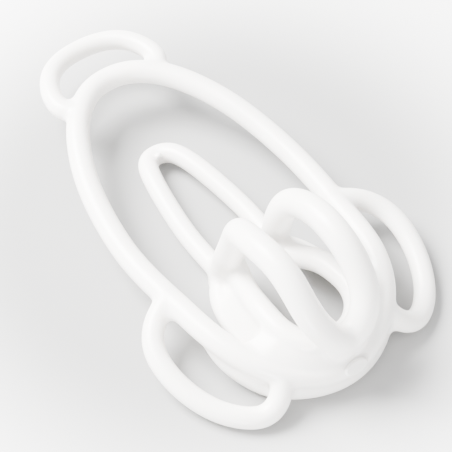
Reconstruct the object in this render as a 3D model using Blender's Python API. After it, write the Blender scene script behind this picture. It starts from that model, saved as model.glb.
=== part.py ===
"""Moulded strap frame: a level oval ring with three strap loops, an inner loop and a front cage.

Every main member of the frame is a round bar along a smooth centreline. The frame is the same on
both sides of the XZ plane. +X points to the cage, +Y to the right-hand side seen from above with
the cage ahead, and +Z is up. The origin lies on the surface that the frame rests on, at the middle
of its bounding box.
"""
import math

import bmesh
import bpy
import numpy as np

MM = 0.001

# Driving dimensions, in millimetres.
RING_RADIUS = 3.5          # bar of the main ring
LOOP_RADIUS = 3.0          # bars of the tail loop, the inner loop and the lower rim
SIDE_RADIUS = 3.1          # bars of the side strap loops
ARCH_RADIUS = 4.1          # the two arches over the cage
CUP_RADIUS = 3.4           # rim round the mouth of the cage
LOWER_RADIUS = 3.2         # side bars under the rim
JOINT_GAP = 0.3            # clearance where one member meets another
REST_HEIGHT = 12.5         # ring plane above the surface that the frame rests on
ORIGIN_X = 58.85           # middle of the frame, ahead of the ring's rear end
SEGMENT = 3.6              # spacing of the rings of faces along a bar
SIDES = 14                 # faces round a bar
RING_SIDES = 16            # faces round the main ring
CURVE_STEPS = 24           # points tried between two centreline points before even spacing
FAR = 120.0                # reach of the box cutters, past every member
SHARP_ANGLE = math.radians(40)     # edges that turn more than this stay sharp

# Centrelines of the right-hand half, as (x from the ring's rear end, y, z above the ring plane).
RING_LINE = [(5.0, 0.0, 2.2), (7.3, 8.0, 2.8), (15.4, 17.0, 2.6), (34.8, 26.3, 0.9), (63.0, 30.7, -1.0),
             (86.0, 29.3, 0.0), (104.0, 27.0, 0.8), (116.5, 21.0, -0.8), (124.8, 10.5, -3.6),
             (127.5, 0.0, -4.4)]
TAIL_LINE = [(12.0, 13.5, 2.8), (8.0, 17.8, 2.8), (0.0, 17.0, 2.6), (-6.5, 13.0, 2.2),
             (-10.5, 6.5, 1.2), (-11.5, 0.0, 0.8)]
INNER_LINE = [(31.0, 0.0, -9.2), (32.8, 3.6, -8.2), (38.0, 6.0, -7.2), (54.0, 8.9, -7.4),
              (65.0, 9.9, -7.6), (73.0, 9.9, -7.6), (79.0, 9.8, -7.8)]
ARCH_LINE = [(80.2, 9.6, -11.9), (80.6, 9.2, -4.0), (82.4, 8.4, 5.0), (84.4, 8.0, 13.0), (87.0, 8.6, 20.0),
             (91.8, 9.6, 23.9), (99.1, 9.9, 26.6), (105.7, 9.7, 27.1), (111.3, 9.7, 25.5), (116.1, 9.6, 22.3),
             (120.5, 9.0, 18.2), (123.8, 7.2, 14.0), (125.4, 4.4, 10.0), (125.8, 1.2, 7.0),
             (125.6, -2.4, 4.8)]
CUP_LINE = [(82.6, 7.8, 0.8), (86.4, 7.9, -3.0), (91.4, 9.7, -1.6), (97.4, 11.5, 1.8), (102.3, 12.3, 3.4),
            (106.8, 12.6, 4.1), (110.8, 12.6, 4.4), (116.0, 11.0, 4.0), (119.5, 8.0, 3.8), (121.8, 4.0, 3.6),
            (122.3, 0.0, 3.5)]
LOWER_LINE = [(80.6, 9.8, -8.2), (84.8, 13.8, -8.8), (90.0, 15.9, -8.8), (95.7, 17.1, -7.8),
              (100.8, 17.5, -6.8), (105.9, 17.3, -5.9), (110.3, 16.9, -5.9), (114.6, 17.3, -5.7),
              (118.4, 18.2, -5.0)]
RIM_LINE = [(99.0, 27.6, 0.0), (104.0, 27.2, -4.2), (110.0, 25.0, -7.6), (118.2, 20.2, -9.6),
            (125.2, 10.4, -9.9), (127.6, 0.0, -9.8)]
SIDE_LOOP_LINE = [(82.0, 29.6, 0.2), (85.4, 36.8, -1.8), (90.6, 41.2, -3.8), (97.4, 42.6, -5.2),
                  (106.5, 41.4, -7.2), (115.2, 37.8, -8.8), (122.0, 32.4, -9.3), (125.2, 26.8, -9.1),
                  (124.2, 21.6, -6.2), (119.8, 18.0, -1.6)]

# Webs: the plates that close the cage between its bars.
SIDE_WEB_SPAN = (86.0, 110.0)      # rear and front ends of the plates between rim and side bars
SIDE_WEB_HALF = 2.2                # half their thickness
NOSE_WEB_SPAN = (109.0, 129.0)     # rear and front ends of the plates between rim and ring
NOSE_WEB_HALF = 2.9
WEB_STATIONS = 14

# Plain oval badge on the nose of the ring.
BADGE_LENGTH = 8.0
BADGE_WIDTH = 4.0
BADGE_HEIGHT = 0.9         # how far the badge's flat face stands out from the ring
BADGE_ROOT = 1.5           # how far its sides reach in before the ring's own surface cuts them
BADGE_EDGE = 0.86          # size of the flat face, as a share of the badge's outline
BADGE_TILT = 37.0          # degrees that its face looks up from straight ahead
BADGE_SIDES = 24

PLASTIC = (0.86, 0.855, 0.84, 1.0)
PLASTIC_ROUGHNESS = 0.34


def clear_scene():
    """Remove what a new file starts with."""
    for thing in list(bpy.data.objects):
        bpy.data.objects.remove(thing, do_unlink=True)


def plastic(name):
    """Make one member's own moulded plastic material."""
    material = bpy.data.materials.new(name)
    material.use_nodes = True
    shader = material.node_tree.nodes["Principled BSDF"]
    shader.inputs["Base Color"].default_value = PLASTIC
    shader.inputs["Roughness"].default_value = PLASTIC_ROUGHNESS
    shader.inputs["Metallic"].default_value = 0.0
    return material


def placed(points, side=1):
    """Move centreline points to the part's own frame, mirrored where side is -1."""
    return [np.array([x - ORIGIN_X, y * side, z + REST_HEIGHT]) for x, y, z in points]


def both_halves(points, rear_open=False):
    """Complete a half line with its mirror image. An open line starts and ends at its own ends."""
    right = placed(points)
    if rear_open:
        left = placed(points, side=-1)
        return left[:-1] + right[::-1]
    left = placed(points[1:-1], side=-1)
    return right + left[::-1]


def spline(points, closed=False):
    """Sample a centripetal Catmull-Rom curve through the points at an even spacing."""
    points = [np.asarray(p, dtype=float) for p in points]
    count = len(points)
    dense = []
    spans = count if closed else count - 1
    for i in range(spans):
        if closed:
            quad = [points[(i + k) % count] for k in (-1, 0, 1, 2)]
        else:
            before = points[i - 1] if i > 0 else 2 * points[0] - points[1]
            after = points[i + 2] if i + 2 < count else 2 * points[-1] - points[-2]
            quad = [before, points[i], points[i + 1], after]
        knots = [0.0]
        for a, b in zip(quad, quad[1:]):
            knots.append(knots[-1] + math.sqrt(np.linalg.norm(b - a)))
        for step in range(CURVE_STEPS):
            t = knots[1] + (knots[2] - knots[1]) * step / CURVE_STEPS
            level = quad
            for depth in (1, 2, 3):
                level = [((knots[k + depth] - t) * level[k] + (t - knots[k]) * level[k + 1])
                         / (knots[k + depth] - knots[k]) for k in range(4 - depth)]
            dense.append(level[0])
    dense.append(points[0] if closed else points[-1])
    dense = np.array(dense)
    length = np.concatenate([[0.0], np.cumsum(np.linalg.norm(np.diff(dense, axis=0), axis=1))])
    steps = max(3, round(length[-1] / SEGMENT))
    wanted = np.linspace(0.0, length[-1], steps + 1)
    line = np.stack([np.interp(wanted, length, dense[:, axis]) for axis in range(3)], axis=1)
    return line[:-1] if closed else line


def frames(line, closed):
    """Give each point of a line two cross axes that turn as little as possible along it."""
    ahead = np.roll(line, -1, axis=0) - np.roll(line, 1, axis=0)
    if not closed:
        ahead[0] = line[1] - line[0]
        ahead[-1] = line[-1] - line[-2]
    ahead /= np.linalg.norm(ahead, axis=1)[:, None]
    first = np.cross(ahead[0], (0.0, 0.0, 1.0))
    first /= np.linalg.norm(first)
    result = []
    for tangent in ahead:
        first = first - tangent * first.dot(tangent)
        first /= np.linalg.norm(first)
        result.append((first, np.cross(tangent, first)))
    return result


def finished(name, bm):
    """Turn the faces outwards and give back a smooth-shaded mesh with its real edges kept sharp."""
    bmesh.ops.recalc_face_normals(bm, faces=bm.faces)
    mesh = bpy.data.meshes.new(name)
    bm.to_mesh(mesh)
    bm.free()
    mesh.shade_smooth()
    mesh.set_sharp_from_angle(angle=SHARP_ANGLE)
    return mesh


def bar_mesh(name, line, radius, sides, closed=False):
    """Sweep a round section along the line and close its ends with flat faces."""
    bm = bmesh.new()
    loops = []
    for point, (across, over) in zip(line, frames(line, closed)):
        loop = []
        for k in range(sides):
            turn = 2 * math.pi * k / sides
            place = point + radius * (math.cos(turn) * across + math.sin(turn) * over)
            loop.append(bm.verts.new(place * MM))
        loops.append(loop)
    pairs = list(zip(loops, loops[1:]))
    if closed:
        pairs.append((loops[-1], loops[0]))
    for near, far in pairs:
        offset = 0
        if closed and near is loops[-1]:
            offset = min(range(sides), key=lambda k: (far[k].co - near[0].co).length)
        for k in range(sides):
            a, b = near[k], near[(k + 1) % sides]
            c, d = far[(k + 1 + offset) % sides], far[(k + offset) % sides]
            bm.faces.new((a, b, c, d))
    if not closed:
        bm.faces.new(loops[0])
        bm.faces.new(loops[-1])
    return finished(name, bm)


def add_object(name, mesh):
    """Put a mesh in the scene as a named member with its own material."""
    thing = bpy.data.objects.new(name, mesh)
    bpy.context.scene.collection.objects.link(thing)
    thing.data.materials.append(plastic(name + "_plastic"))
    return thing


def add_cutter(name, mesh):
    """Put a mesh in the scene as a hidden cutter."""
    thing = bpy.data.objects.new(name, mesh)
    bpy.context.scene.collection.objects.link(thing)
    thing.hide_render = True
    thing.display_type = 'WIRE'
    return thing


def cut_with(thing, *cutters):
    """Cope a member round its neighbours."""
    for cutter in cutters:
        cut = thing.modifiers.new("cope_" + cutter.name, 'BOOLEAN')
        cut.operation = 'DIFFERENCE'
        cut.solver = 'EXACT'
        cut.object = cutter


def add_bar(name, line, radius, sides=SIDES, closed=False):
    """Add a round member and the slightly fatter cutter that copes its neighbours."""
    member = add_object(name, bar_mesh(name, line, radius, sides, closed))
    fat = bar_mesh("space_" + name, line, radius + JOINT_GAP, sides, closed)
    return member, add_cutter("space_" + name, fat)


def add_box_cutter(name, low, high):
    """Add a hidden box cutter between two corners, in millimetres."""
    bm = bmesh.new()
    bmesh.ops.create_cube(bm, size=1.0)
    low = np.array(low) * MM
    high = np.array(high) * MM
    for vert in bm.verts:
        for axis in range(3):
            vert.co[axis] = low[axis] if vert.co[axis] < 0 else high[axis]
    mesh = bpy.data.meshes.new(name)
    bm.to_mesh(mesh)
    bm.free()
    return add_cutter(name, mesh)


def between(line, low, high):
    """Give a line's right-hand stretch from one X to another, resampled to the web's stations."""
    stretch = np.array([p for p in line if low <= p[0] + ORIGIN_X <= high and p[1] > -SEGMENT])
    stretch = stretch[np.argsort(-stretch[:, 1] + stretch[:, 0])]
    length = np.concatenate([[0.0], np.cumsum(np.linalg.norm(np.diff(stretch, axis=0), axis=1))])
    wanted = np.linspace(0.0, length[-1], WEB_STATIONS)
    return np.stack([np.interp(wanted, length, stretch[:, axis]) for axis in range(3)], axis=1)


def plate_mesh(name, first, second, half_thickness, side):
    """Make a plate that runs between two lines, mirrored where side is -1."""
    flip = np.array([1.0, side, 1.0])
    along = np.gradient(first + second, axis=0)
    normal = np.cross(along, second - first)
    normal /= np.linalg.norm(normal, axis=1)[:, None]
    normal *= half_thickness
    rails = [first + normal, second + normal, second - normal, first - normal]
    bm = bmesh.new()
    rows = [[bm.verts.new(rail[k] * flip * MM) for rail in rails] for k in range(WEB_STATIONS)]
    for near, far in zip(rows, rows[1:]):
        for k in range(4):
            bm.faces.new((near[k], near[(k + 1) % 4], far[(k + 1) % 4], far[k]))
    bm.faces.new(rows[0])
    bm.faces.new(rows[-1])
    return finished(name, bm)


def badge_mesh(nose):
    """Make a low oval pad that stands on the ring's front, facing ahead and up."""
    tilt = math.radians(BADGE_TILT)
    normal = np.array([math.cos(tilt), 0.0, math.sin(tilt)])
    along = np.array([0.0, 1.0, 0.0])
    across = np.cross(normal, along)
    foot = RING_RADIUS - BADGE_ROOT
    edge = RING_RADIUS + BADGE_HEIGHT * 0.5
    face = RING_RADIUS + BADGE_HEIGHT
    bm = bmesh.new()
    loops = []
    for lift, share in ((foot, 1.0), (edge, 1.0), (face, BADGE_EDGE)):
        loop = []
        for k in range(BADGE_SIDES):
            turn = 2 * math.pi * k / BADGE_SIDES
            sideways = along * BADGE_LENGTH / 2 * math.cos(turn)
            upward = across * BADGE_WIDTH / 2 * math.sin(turn)
            place = nose + normal * lift + (sideways + upward) * share
            loop.append(bm.verts.new(place * MM))
        loops.append(loop)
    for low, high in zip(loops, loops[1:]):
        for k in range(BADGE_SIDES):
            after = (k + 1) % BADGE_SIDES
            bm.faces.new((low[k], low[after], high[after], high[k]))
    bm.faces.new(loops[0])
    bm.faces.new(loops[-1])
    return finished("badge", bm)


def main():
    """Build every member and cope it round the members that it meets."""
    clear_scene()

    ring_line = spline(both_halves(RING_LINE), closed=True)
    ring, ring_space = add_bar("main_ring", ring_line, RING_RADIUS, RING_SIDES, closed=True)

    tail_line = spline(both_halves(TAIL_LINE, rear_open=True))
    tail, _ = add_bar("tail_strap_loop", tail_line, LOOP_RADIUS)
    cut_with(tail, ring_space)

    arch_line = spline(placed(ARCH_LINE))
    cup_line = spline(both_halves(CUP_LINE, rear_open=True))
    lower_line = spline(placed(LOWER_LINE))
    flip = np.array([1.0, -1.0, 1.0])

    arch_spaces = {}
    halves = {}
    for hand, side in (("right", 1), ("left", -1)):
        ends = sorted((side * JOINT_GAP / 2, -side * FAR))
        halves[hand] = add_box_cutter("space_beside_" + hand, (-FAR, ends[0], -FAR), (FAR, ends[1], FAR))
        line = arch_line if side == 1 else arch_line * flip
        arch, arch_spaces[hand] = add_bar("arch_" + hand, line, ARCH_RADIUS)
        cut_with(arch, ring_space, halves[hand])

    cup, cup_space = add_bar("cup_rim", cup_line, CUP_RADIUS)
    cut_with(cup, ring_space, *arch_spaces.values())

    rim_line = spline(both_halves(RIM_LINE, rear_open=True))
    rim, rim_space = add_bar("lower_rim", rim_line, LOOP_RADIUS)
    rest_space = add_box_cutter("space_rest", (-FAR, -FAR, -FAR), (FAR, FAR, 0.0))
    cut_with(rim, ring_space, rest_space)

    upper_edge = between(cup_line, *SIDE_WEB_SPAN)
    lower_edge = between(lower_line, *SIDE_WEB_SPAN)
    nose_edge = between(cup_line, *NOSE_WEB_SPAN)
    ring_edge = between(ring_line, *NOSE_WEB_SPAN)
    for hand, side in (("right", 1), ("left", -1)):
        line = lower_line if side == 1 else lower_line * flip
        bar, bar_space = add_bar("side_bar_" + hand, line, LOWER_RADIUS)
        cut_with(bar, ring_space, cup_space, rim_space, arch_spaces[hand])

        side_web = add_object("side_web_" + hand, plate_mesh(
            "side_web_" + hand, upper_edge, lower_edge, SIDE_WEB_HALF, side))
        cut_with(side_web, ring_space, cup_space, bar_space, arch_spaces[hand])
        side_web_space = add_cutter("space_side_web_" + hand, plate_mesh(
            "space_side_web_" + hand, upper_edge, lower_edge, SIDE_WEB_HALF + JOINT_GAP, side))

        nose_web = add_object("nose_web_" + hand, plate_mesh(
            "nose_web_" + hand, nose_edge, ring_edge, NOSE_WEB_HALF, side))
        cut_with(nose_web, ring_space, cup_space, rim_space, side_web_space, halves[hand], arch_spaces[hand])

    inner_line = spline(both_halves(INNER_LINE[::-1], rear_open=True))
    inner, _ = add_bar("inner_loop", inner_line, LOOP_RADIUS)
    cut_with(inner, *arch_spaces.values())

    for hand, side in (("right", 1), ("left", -1)):
        loop, _ = add_bar("strap_loop_" + hand, spline(placed(SIDE_LOOP_LINE, side)), SIDE_RADIUS)
        cut_with(loop, ring_space, rim_space)

    nose = placed(RING_LINE)[-1]
    badge = add_object("badge", badge_mesh(nose))
    cut_with(badge, ring_space)


main()
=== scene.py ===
"""Looks of the moulded strap frame: white semi-gloss plastic whose members melt into each other.

The members are swept along the same centrelines as the CAD part, joined, rounded where they
meet, and divided again into one piece for each CAD node.
"""
import math

import bmesh
import bpy
import numpy as np
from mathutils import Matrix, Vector
from mathutils.kdtree import KDTree


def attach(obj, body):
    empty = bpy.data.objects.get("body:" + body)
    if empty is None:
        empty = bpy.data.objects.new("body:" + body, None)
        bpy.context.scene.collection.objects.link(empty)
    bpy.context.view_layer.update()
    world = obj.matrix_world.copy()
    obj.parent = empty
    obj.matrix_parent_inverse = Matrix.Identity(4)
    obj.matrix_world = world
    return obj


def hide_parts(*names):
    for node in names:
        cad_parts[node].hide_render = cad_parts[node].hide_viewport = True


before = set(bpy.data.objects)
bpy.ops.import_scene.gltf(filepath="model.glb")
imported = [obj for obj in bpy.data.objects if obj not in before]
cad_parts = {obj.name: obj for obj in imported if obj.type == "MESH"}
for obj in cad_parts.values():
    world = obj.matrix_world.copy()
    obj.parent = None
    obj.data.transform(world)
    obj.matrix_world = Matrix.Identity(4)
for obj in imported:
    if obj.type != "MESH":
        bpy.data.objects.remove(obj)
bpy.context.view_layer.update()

MM = 0.001
ORIGIN_X = 58.85
REST_HEIGHT = 12.5
RING_RADIUS = 3.5
LOOP_RADIUS = 3.0
SIDE_RADIUS = 3.1
ARCH_RADIUS = 4.1
CUP_RADIUS = 3.4
LOWER_RADIUS = 3.2

# How the members are swept, joined and rounded, in millimetres.
STEP = 0.8           # spacing of the points along a member
SIDES = 36           # faces round a member
CURVE_STEPS = 24     # points tried between two centreline points before even spacing
CORNER_ROUNDS = 8    # times that a centreline is smoothed
END_BENDS = (0.3, 0.6, 0.85)   # rings of a round end, as shares of a quarter turn
VOXEL = 0.42
FAT_ROUNDS = 6       # smoothing of the fat skin
SMOOTH_ROUNDS = 10   # smoothing of the finished skin
GROW = 1.2           # members are joined this much too fat and then shrunk, which rounds their corners
PUFF = 0.14          # what smoothing takes off each bar

# Centrelines of the right-hand half, in millimetres, as in the CAD part.
RING_LINE = [(5.0, 0.0, 2.2), (7.3, 8.0, 2.8), (15.4, 17.0, 2.6), (34.8, 26.3, 0.9), (63.0, 30.7, -1.0),
             (86.0, 29.3, 0.0), (104.0, 27.0, 0.8), (116.5, 21.0, -0.8), (124.8, 10.5, -3.6),
             (127.5, 0.0, -4.4)]
TAIL_LINE = [(12.0, 13.5, 2.8), (8.0, 17.8, 2.8), (0.0, 17.0, 2.6), (-6.5, 13.0, 2.2),
             (-10.5, 6.5, 1.2), (-11.5, 0.0, 0.8)]
INNER_LINE = [(31.0, 0.0, -9.2), (32.8, 3.6, -8.2), (38.0, 6.0, -7.2), (54.0, 8.9, -7.4),
              (65.0, 9.9, -7.6), (73.0, 9.9, -7.6), (79.0, 9.8, -7.8)]
ARCH_LINE = [(80.2, 9.6, -11.9), (80.6, 9.2, -4.0), (82.4, 8.4, 5.0), (84.4, 8.0, 13.0), (87.0, 8.6, 20.0),
             (91.8, 9.6, 23.9), (99.1, 9.9, 26.6), (105.7, 9.7, 27.1), (111.3, 9.7, 25.5), (116.1, 9.6, 22.3),
             (120.5, 9.0, 18.2), (123.8, 7.2, 14.0), (125.4, 4.4, 10.0), (125.8, 1.2, 7.0),
             (125.6, -2.4, 4.8)]
CUP_LINE = [(82.6, 7.8, 0.8), (86.4, 7.9, -3.0), (91.4, 9.7, -1.6), (97.4, 11.5, 1.8), (102.3, 12.3, 3.4),
            (106.8, 12.6, 4.1), (110.8, 12.6, 4.4), (116.0, 11.0, 4.0), (119.5, 8.0, 3.8), (121.8, 4.0, 3.6),
            (122.3, 0.0, 3.5)]
LOWER_LINE = [(80.6, 9.8, -8.2), (84.8, 13.8, -8.8), (90.0, 15.9, -8.8), (95.7, 17.1, -7.8),
              (100.8, 17.5, -6.8), (105.9, 17.3, -5.9), (110.3, 16.9, -5.9), (114.6, 17.3, -5.7),
              (118.4, 18.2, -5.0)]
RIM_LINE = [(99.0, 27.6, 0.0), (104.0, 27.2, -4.2), (110.0, 25.0, -7.6), (118.2, 20.2, -9.6),
            (125.2, 10.4, -9.9), (127.6, 0.0, -9.8)]
SIDE_LOOP_LINE = [(82.0, 29.6, 0.2), (85.4, 36.8, -1.8), (90.6, 41.2, -3.8), (97.4, 42.6, -5.2),
                  (106.5, 41.4, -7.2), (115.2, 37.8, -8.8), (122.0, 32.4, -9.3), (125.2, 26.8, -9.1),
                  (124.2, 21.6, -6.2), (119.8, 18.0, -1.6)]

# Plates between the members, as spans of X from the ring's rear end, and half their thickness.
SIDE_WEB_SPAN = (86.0, 110.0)
SIDE_WEB_HALF = 3.0
NOSE_WEB_SPAN = (107.0, 129.0)
NOSE_WEB_HALF = 3.0
WEB_STATIONS = 30    # points along a plate
WEB_ROWS = 18        # points across it
THIN_END = 0.4       # thickness of a plate's rear end, as a share of the whole
THICKENING = 12      # stations that a plate takes to gain one whole thickness
PAST_MIDDLE = -1.0   # Y down to which a line counts as its right-hand half

# How the skin is divided between the nodes, in millimetres.
PLATE_HANDICAP = 0.25    # what a plate has to be nearer by to take a face from a bar
SEARCH = 8.0             # how far outside a member's box its faces are looked for

# The camera and the floor. Distances are in metres, the lens and its sensor in millimetres.
AZIMUTH = math.radians(54.0)
ELEVATION = math.radians(53.75)
CAMERA_DISTANCE = 0.5
SENSOR = 36.0
LENS = 135.39823
SHIFT_X, SHIFT_Y = -0.0055, -0.0125
TARGET = Vector((0.01115, 0.0, 0.0125))
FLOOR_REACH = 3.0
FLOOR_ROUGHNESS = 0.7
FLOOR_PAINTED_SHADOW, FLOOR_FAR = 0.3, 0.85    # tone of the paper under the object, darkened there as painted shadow, and its own tone far from it
SHADOW_FADE_FROM, SHADOW_FADE_TO = 0.055, 0.125    # metres from the origin between which the tone changes, as the painted shadow fades into the paper's own tone

# The lights, with sizes in metres and powers in watts.
KEY_PLACE, KEY_SIZE, KEY_POWER = (-0.55, -0.35, 0.8), 0.6, 120.0
KEY_COLOUR = (1.0, 0.995, 0.98)
STRIP_PLACE, STRIP_SIZE, STRIP_POWER = (-0.05, -0.5, 0.4), 0.1, 7.0    # place as seen_from takes it
STRIP_COLOUR = (1.0, 1.0, 1.0)
WORLD_STRENGTH = 1.9

# The plastic.
WHITE = (0.92, 0.896, 0.866)
BODY_ROUGHNESS = 0.34
BADGE_ROUGHNESS = 0.45
BODY_SEED, BADGE_SEED = 0.0, 3.0
MOTTLE_FROM, MOTTLE_TO = 0.3, 0.7          # values of the noise between which the mottling runs
MOTTLE_DARK = 0.975                        # darkest share of the tint
SMOOTHER, ROUGHER = 0.03, 0.04             # how far the roughness goes below and above its value


def placed(points, side=1):
    """Centreline points in the row frame, in millimetres, mirrored where side is -1."""
    return [np.array([x - ORIGIN_X, y * side, z + REST_HEIGHT]) for x, y, z in points]


def both_halves(points, open_ended=False):
    """A half line completed with its mirror image: a ring, or a line open at the first point."""
    right = placed(points)
    if open_ended:
        return placed(points, -1)[:-1] + right[::-1]
    return right + placed(points[1:-1], -1)[::-1]


def spline(points, closed):
    """Centripetal Catmull-Rom curve through the points, sampled evenly and its corners smoothed."""
    count = len(points)
    dense = []
    for i in range(count if closed else count - 1):
        if closed:
            quad = [points[(i + k) % count] for k in (-1, 0, 1, 2)]
        else:
            before = points[i - 1] if i > 0 else 2 * points[0] - points[1]
            after = points[i + 2] if i + 2 < count else 2 * points[-1] - points[-2]
            quad = [before, points[i], points[i + 1], after]
        knots = [0.0]
        for a, b in zip(quad, quad[1:]):
            knots.append(knots[-1] + math.sqrt(np.linalg.norm(b - a)))
        for step in range(CURVE_STEPS):
            t = knots[1] + (knots[2] - knots[1]) * step / CURVE_STEPS
            level = quad
            for depth in (1, 2, 3):
                level = [((knots[k + depth] - t) * level[k] + (t - knots[k]) * level[k + 1])
                         / (knots[k + depth] - knots[k]) for k in range(4 - depth)]
            dense.append(level[0])
    dense.append(points[0] if closed else points[-1])
    dense = np.array(dense)
    length = np.concatenate([[0.0], np.cumsum(np.linalg.norm(np.diff(dense, axis=0), axis=1))])
    wanted = np.linspace(0.0, length[-1], round(length[-1] / STEP) + 1)
    line = np.stack([np.interp(wanted, length, dense[:, k]) for k in range(3)], axis=1)
    # Rounds off what is left of the corners at the spline's own points.
    for _ in range(CORNER_ROUNDS):
        if closed:
            ring = line[:-1]
            ring = 0.5 * ring + 0.25 * (np.roll(ring, 1, axis=0) + np.roll(ring, -1, axis=0))
            line = np.vstack([ring, ring[:1]])
        else:
            line[1:-1] = 0.5 * line[1:-1] + 0.25 * (line[:-2] + line[2:])
    return line


def finished(name, bm):
    """The mesh of a solid, with its faces turned outwards."""
    bmesh.ops.recalc_face_normals(bm, faces=bm.faces)
    mesh = bpy.data.meshes.new(name)
    bm.to_mesh(mesh)
    bm.free()
    return mesh


def tube(name, line, radius, closed):
    """Round bar along the line, with round ends where it is open."""
    if closed:
        line = line[:-1]
    ahead = np.roll(line, -1, axis=0) - np.roll(line, 1, axis=0)
    if not closed:
        ahead[0] = line[1] - line[0]
        ahead[-1] = line[-1] - line[-2]
    ahead /= np.linalg.norm(ahead, axis=1)[:, None]
    first = np.cross(ahead[0], (0.0, 0.0, 1.0))
    first /= np.linalg.norm(first)
    bm = bmesh.new()
    loops = []

    def loop_at(point, tangent, size):
        """Add one ring of points, turned as little as possible from the ring before."""
        nonlocal first
        first = first - tangent * first.dot(tangent)
        first /= np.linalg.norm(first)
        second = np.cross(tangent, first)
        turns = [2 * math.pi * k / SIDES for k in range(SIDES)]
        loops.append([bm.verts.new((point + size * (math.cos(t) * first + math.sin(t) * second)) * MM)
                      for t in turns])

    if not closed:
        for bend in END_BENDS:
            turn = bend * math.pi / 2
            loop_at(line[0] - ahead[0] * radius * math.cos(turn), ahead[0], radius * math.sin(turn))
    for point, tangent in zip(line, ahead):
        loop_at(point, tangent, radius)
    if not closed:
        for bend in END_BENDS[::-1]:
            turn = bend * math.pi / 2
            loop_at(line[-1] + ahead[-1] * radius * math.cos(turn), ahead[-1], radius * math.sin(turn))
    pairs = list(zip(loops, loops[1:]))
    if closed:
        pairs.append((loops[-1], loops[0]))
    for near, far in pairs:
        shift = 0
        if closed and near is loops[-1]:
            shift = min(range(SIDES), key=lambda k: (far[k].co - near[0].co).length)
        for k in range(SIDES):
            bm.faces.new((near[k], near[(k + 1) % SIDES],
                          far[(k + 1 + shift) % SIDES], far[(k + shift) % SIDES]))
    if not closed:
        bm.faces.new(loops[0])
        bm.faces.new(loops[-1])
    return finished(name, bm)


def between(line, low, high):
    """The stretch of a line's right-hand half from one X to another, at even stations."""
    stretch = np.array([p for p in line if low <= p[0] + ORIGIN_X <= high and p[1] > PAST_MIDDLE])
    stretch = stretch[np.argsort(stretch[:, 0] - stretch[:, 1])]
    length = np.concatenate([[0.0], np.cumsum(np.linalg.norm(np.diff(stretch, axis=0), axis=1))])
    wanted = np.linspace(0.0, length[-1], WEB_STATIONS)
    return np.stack([np.interp(wanted, length, stretch[:, k]) for k in range(3)], axis=1)


def plate(name, first, second, half):
    """Plate between two lines that thins out at its rear end, and the points of its middle surface."""
    normal = np.cross(np.gradient(first + second, axis=0), second - first)
    depth = half * np.clip(THIN_END + np.arange(len(first)) / THICKENING, 0.0, 1.0) + GROW
    normal *= (depth / np.linalg.norm(normal, axis=1))[:, None]
    bm = bmesh.new()
    rows = [[bm.verts.new(p * MM) for p in (a + n, b + n, b - n, a - n)]
            for a, b, n in zip(first, second, normal)]
    for near, far in zip(rows, rows[1:]):
        for k in range(4):
            bm.faces.new((near[k], near[(k + 1) % 4], far[(k + 1) % 4], far[k]))
    bm.faces.new(rows[0])
    bm.faces.new(rows[-1])
    shares = np.linspace(0.0, 1.0, WEB_ROWS)
    middle = np.concatenate([first * (1.0 - share) + second * share for share in shares])
    return finished(name, bm), middle


def joined_up(mesh, rounds):
    """The mesh as one even skin, smoothed so many times."""
    body = bpy.data.objects.new("whole", mesh)
    bpy.context.scene.collection.objects.link(body)
    remesh = body.modifiers.new("join", 'REMESH')
    remesh.mode = 'VOXEL'
    remesh.voxel_size = VOXEL * MM
    remesh.use_smooth_shade = True
    soften = body.modifiers.new("soften", 'SMOOTH')
    soften.factor = 0.5
    soften.iterations = rounds
    result = bpy.data.meshes.new_from_object(body.evaluated_get(bpy.context.evaluated_depsgraph_get()))
    bpy.data.objects.remove(body, do_unlink=True)
    return result


def vectors(collection, key, count):
    """One three-part property of a mesh's elements, as an array."""
    values = np.empty(count * 3, np.float32)
    collection.foreach_get(key, values)
    return values.reshape(-1, 3)


def nearest(points_mm, line, radius):
    """How far each point is from the surface round a line or sheet of points."""
    tree = KDTree(len(line))
    for index, point in enumerate(line):
        tree.insert(point, index)
    tree.balance()
    low, high = line.min(axis=0) - SEARCH, line.max(axis=0) + SEARCH
    gaps = np.full(len(points_mm), np.inf)
    for index in np.nonzero(((points_mm > low) & (points_mm < high)).all(axis=1))[0]:
        gaps[index] = tree.find(points_mm[index])[2] - radius
    return gaps


# ---------------------------------------------------------------- members
MEMBERS = {
    "main_ring": (both_halves(RING_LINE), RING_RADIUS, True),
    "tail_strap_loop": (both_halves(TAIL_LINE, True), LOOP_RADIUS, False),
    "inner_loop": (both_halves(INNER_LINE[::-1], True), LOOP_RADIUS, False),
    "arch_left": (placed(ARCH_LINE, -1), ARCH_RADIUS, False),
    "arch_right": (placed(ARCH_LINE), ARCH_RADIUS, False),
    "cup_rim": (both_halves(CUP_LINE, True), CUP_RADIUS, False),
    "side_bar_left": (placed(LOWER_LINE, -1), LOWER_RADIUS, False),
    "side_bar_right": (placed(LOWER_LINE), LOWER_RADIUS, False),
    "lower_rim": (both_halves(RIM_LINE, True), LOOP_RADIUS, False),
    "strap_loop_left": (placed(SIDE_LOOP_LINE, -1), SIDE_RADIUS, False),
    "strap_loop_right": (placed(SIDE_LOOP_LINE), SIDE_RADIUS, False),
}
lines = {}
parts = []
for name, (points, radius, closed) in MEMBERS.items():
    line = spline(points, closed)
    lines[name] = (line, radius)
    parts.append(tube(name, line, radius + PUFF + GROW, closed))
ring_line, cup_line, low_line = (lines[name][0] for name in ("main_ring", "cup_rim", "side_bar_right"))
side_edges = [between(line, *SIDE_WEB_SPAN) for line in (cup_line, low_line)]
nose_edges = [between(line, *NOSE_WEB_SPAN) for line in (cup_line, ring_line)]
web_kinds = (("side_web_", side_edges, SIDE_WEB_HALF), ("nose_web_", nose_edges, NOSE_WEB_HALF))
plates = {}
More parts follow.
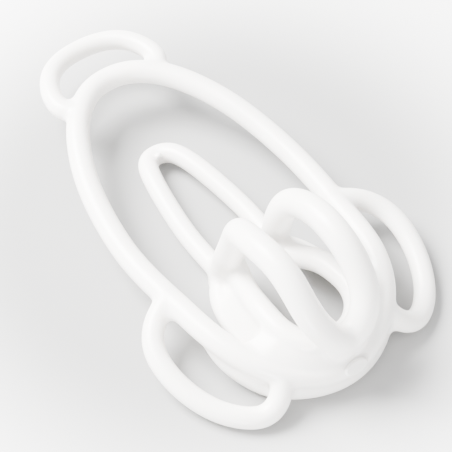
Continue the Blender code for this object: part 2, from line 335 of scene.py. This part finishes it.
for hand, side in (("left", -1), ("right", 1)):
    flip = np.array([1.0, side, 1.0])
    for kind, edges, half in web_kinds:
        mesh, middle = plate(kind + hand, edges[0] * flip, edges[1] * flip, half)
        parts.append(mesh)
        plates[kind + hand] = (middle, half)

whole = bmesh.new()
for mesh in parts:
    whole.from_mesh(mesh)
whole_mesh = bpy.data.meshes.new("whole")
whole.to_mesh(whole_mesh)
whole.free()

fat = joined_up(whole_mesh, FAT_ROUNDS)
count = len(fat.vertices)
shrunk = vectors(fat.vertices, "co", count) - vectors(fat.vertex_normals, "vector", count) * GROW * MM
fat.vertices.foreach_set("co", shrunk.ravel())
fat.update()
joined = joined_up(fat, SMOOTH_ROUNDS)

# Nothing goes below the floor, so the rim keeps its flat land.
count = len(joined.vertices)
co = vectors(joined.vertices, "co", count)
co[:, 2] = np.maximum(co[:, 2], 0.0)
joined.vertices.foreach_set("co", co.ravel())
joined.update()
joined.shade_smooth()
normals = vectors(joined.vertex_normals, "vector", count)

# ---------------------------------------------------------------- dividing
faces = vectors(joined.polygons, "center", len(joined.polygons)).astype(float) / MM
names = list(MEMBERS) + list(plates)
scores = np.stack([nearest(faces, *lines[n]) for n in MEMBERS]
                  + [nearest(faces, *plates[n]) + PLATE_HANDICAP for n in plates], axis=1)
labels = scores.argmin(axis=1)

starts = np.empty(len(joined.polygons), np.int32)
totals = np.empty(len(joined.polygons), np.int32)
joined.polygons.foreach_get("loop_start", starts)
joined.polygons.foreach_get("loop_total", totals)
corner = np.empty(len(joined.loops), np.int32)
joined.loops.foreach_get("vertex_index", corner)

pieces = {}
for index, name in enumerate(names):
    chosen = np.nonzero(labels == index)[0]
    used = np.unique(np.concatenate([corner[starts[f]:starts[f] + totals[f]] for f in chosen]))
    renumber = np.full(count, -1, np.int64)
    renumber[used] = np.arange(len(used))
    mesh = bpy.data.meshes.new(name + "_skin")
    mesh.from_pydata(co[used].tolist(), [],
                     [renumber[corner[starts[f]:starts[f] + totals[f]]].tolist() for f in chosen])
    mesh.shade_smooth()
    mesh.normals_split_custom_set_from_vertices(normals[used].tolist())
    mesh.update()
    thing = bpy.data.objects.new(name + "_skin", mesh)
    bpy.context.scene.collection.objects.link(thing)
    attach(thing, "root")
    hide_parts(name)
    pieces[name] = thing


# ---------------------------------------------------------------- plastic
def plastic(name, tint, roughness, seed):
    """White moulded plastic: soft sheen, faint mottling, a very fine bead-blasted grain."""
    material = bpy.data.materials.new(name)
    material.use_nodes = True
    tree = material.node_tree
    nodes, links = tree.nodes, tree.links
    shader = nodes["Principled BSDF"]
    shader.inputs["IOR"].default_value = 1.49
    shader.inputs["Subsurface Weight"].default_value = 0.25
    shader.inputs["Subsurface Radius"].default_value = (0.004, 0.0034, 0.003)
    shader.inputs["Subsurface Scale"].default_value = 0.5
    where = nodes.new("ShaderNodeTexCoord")
    cloud = nodes.new("ShaderNodeTexNoise")
    cloud.noise_dimensions = '4D'
    cloud.inputs["W"].default_value = seed
    cloud.inputs["Scale"].default_value = 90.0
    cloud.inputs["Detail"].default_value = 4.0
    links.new(where.outputs["Object"], cloud.inputs["Vector"])
    colour = nodes.new("ShaderNodeValToRGB")
    colour.color_ramp.elements[0].position = MOTTLE_FROM
    colour.color_ramp.elements[1].position = MOTTLE_TO
    colour.color_ramp.elements[0].color = (*(c * MOTTLE_DARK for c in tint), 1.0)
    colour.color_ramp.elements[1].color = (*tint, 1.0)
    links.new(cloud.outputs["Fac"], colour.inputs["Fac"])
    links.new(colour.outputs["Color"], shader.inputs["Base Color"])
    rough = nodes.new("ShaderNodeMapRange")
    rough.inputs["From Min"].default_value = MOTTLE_FROM
    rough.inputs["From Max"].default_value = MOTTLE_TO
    rough.inputs["To Min"].default_value = roughness - SMOOTHER
    rough.inputs["To Max"].default_value = roughness + ROUGHER
    links.new(cloud.outputs["Fac"], rough.inputs["Value"])
    links.new(rough.outputs["Result"], shader.inputs["Roughness"])
    grain = nodes.new("ShaderNodeTexNoise")
    grain.inputs["Scale"].default_value = 2600.0
    grain.inputs["Detail"].default_value = 2.0
    links.new(where.outputs["Object"], grain.inputs["Vector"])
    bump = nodes.new("ShaderNodeBump")
    bump.inputs["Strength"].default_value = 0.06
    bump.inputs["Distance"].default_value = 0.0002
    links.new(grain.outputs["Fac"], bump.inputs["Height"])
    links.new(bump.outputs["Normal"], shader.inputs["Normal"])
    return material


for name, thing in pieces.items():
    thing.data.materials.append(plastic(name + "_plastic", WHITE, BODY_ROUGHNESS, BODY_SEED))
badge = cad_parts["badge"]
badge.data.materials.clear()
badge.data.materials.append(plastic("badge_plastic", WHITE, BADGE_ROUGHNESS, BADGE_SEED))


# ---------------------------------------------------------------- stage
def paper(painted_shadow_tone, far_tone):
    """Pale paper with a painted shadow: darker under the object, growing lighter to its own tone away from
    it.
    """
    material = bpy.data.materials.new("floor_paper_painted_shadow")
    material.use_nodes = True
    tree = material.node_tree
    nodes, links = tree.nodes, tree.links
    nodes["Principled BSDF"].inputs["Roughness"].default_value = FLOOR_ROUGHNESS
    where = nodes.new("ShaderNodeTexCoord")
    away = nodes.new("ShaderNodeVectorMath")
    away.operation = 'LENGTH'
    links.new(where.outputs["Object"], away.inputs[0])
    spread = nodes.new("ShaderNodeMapRange")
    spread.interpolation_type = 'SMOOTHSTEP'
    spread.inputs["From Min"].default_value = SHADOW_FADE_FROM
    spread.inputs["From Max"].default_value = SHADOW_FADE_TO
    links.new(away.outputs["Value"], spread.inputs["Value"])
    # Painted shadow: the near tone darkens the paper round the object where its shade falls.
    tone = nodes.new("ShaderNodeValToRGB")
    tone.color_ramp.elements[0].color = (painted_shadow_tone, painted_shadow_tone, painted_shadow_tone, 1.0)
    tone.color_ramp.elements[1].color = (far_tone, far_tone, far_tone, 1.0)
    links.new(spread.outputs["Result"], tone.inputs["Fac"])
    links.new(tone.outputs["Color"], nodes["Principled BSDF"].inputs["Base Color"])
    return material


floor_mesh = bpy.data.meshes.new("floor")
floor_corners = [(x * FLOOR_REACH, y * FLOOR_REACH, 0) for x, y in ((-1, -1), (1, -1), (1, 1), (-1, 1))]
floor_mesh.from_pydata(floor_corners, [], [(0, 1, 2, 3)])
floor = bpy.data.objects.new("floor", floor_mesh)
floor.data.materials.append(paper(FLOOR_PAINTED_SHADOW, FLOOR_FAR))
bpy.context.scene.collection.objects.link(floor)

# Directions as viewed: towards the camera, to the right and upwards.
back = Vector((math.sin(AZIMUTH) * math.cos(ELEVATION), -math.cos(AZIMUTH) * math.cos(ELEVATION),
               math.sin(ELEVATION)))
right = Vector((math.cos(AZIMUTH), math.sin(AZIMUTH), 0.0))
up = back.cross(right)


def area_light(name, place, size, power, colour):
    """Soft square light that faces the target."""
    data = bpy.data.lights.new(name, 'AREA')
    data.shape = 'RECTANGLE'
    data.size = size
    data.size_y = size
    data.energy = power
    data.color = colour
    lamp = bpy.data.objects.new(name, data)
    lamp.location = place
    lamp.rotation_euler = (TARGET - Vector(place)).to_track_quat('-Z', 'Y').to_euler()
    bpy.context.scene.collection.objects.link(lamp)


def seen_from(to_right, to_up, to_camera):
    """A place given by how far it is to the right of, above and in front of the object, as viewed."""
    return TARGET + right * to_right + up * to_up + back * to_camera


area_light("key", KEY_PLACE, KEY_SIZE, KEY_POWER, KEY_COLOUR)
area_light("nose_strip", seen_from(*STRIP_PLACE), STRIP_SIZE, STRIP_POWER, STRIP_COLOUR)

world = bpy.data.worlds.new("studio")
bpy.context.scene.world = world
world.use_nodes = True
world.node_tree.nodes["Background"].inputs["Color"].default_value = (1.0, 1.0, 1.0, 1.0)
world.node_tree.nodes["Background"].inputs["Strength"].default_value = WORLD_STRENGTH

camera_data = bpy.data.cameras.new("camera")
camera_data.sensor_width = SENSOR
camera_data.lens = LENS
camera_data.shift_x = SHIFT_X
camera_data.shift_y = SHIFT_Y
camera_data.clip_start = 0.01
camera_data.clip_end = 20.0
camera = bpy.data.objects.new("camera", camera_data)
camera.location = TARGET + back * CAMERA_DISTANCE
camera.rotation_euler = back.to_track_quat('Z', 'Y').to_euler()
bpy.context.scene.collection.objects.link(camera)
bpy.context.scene.camera = camera
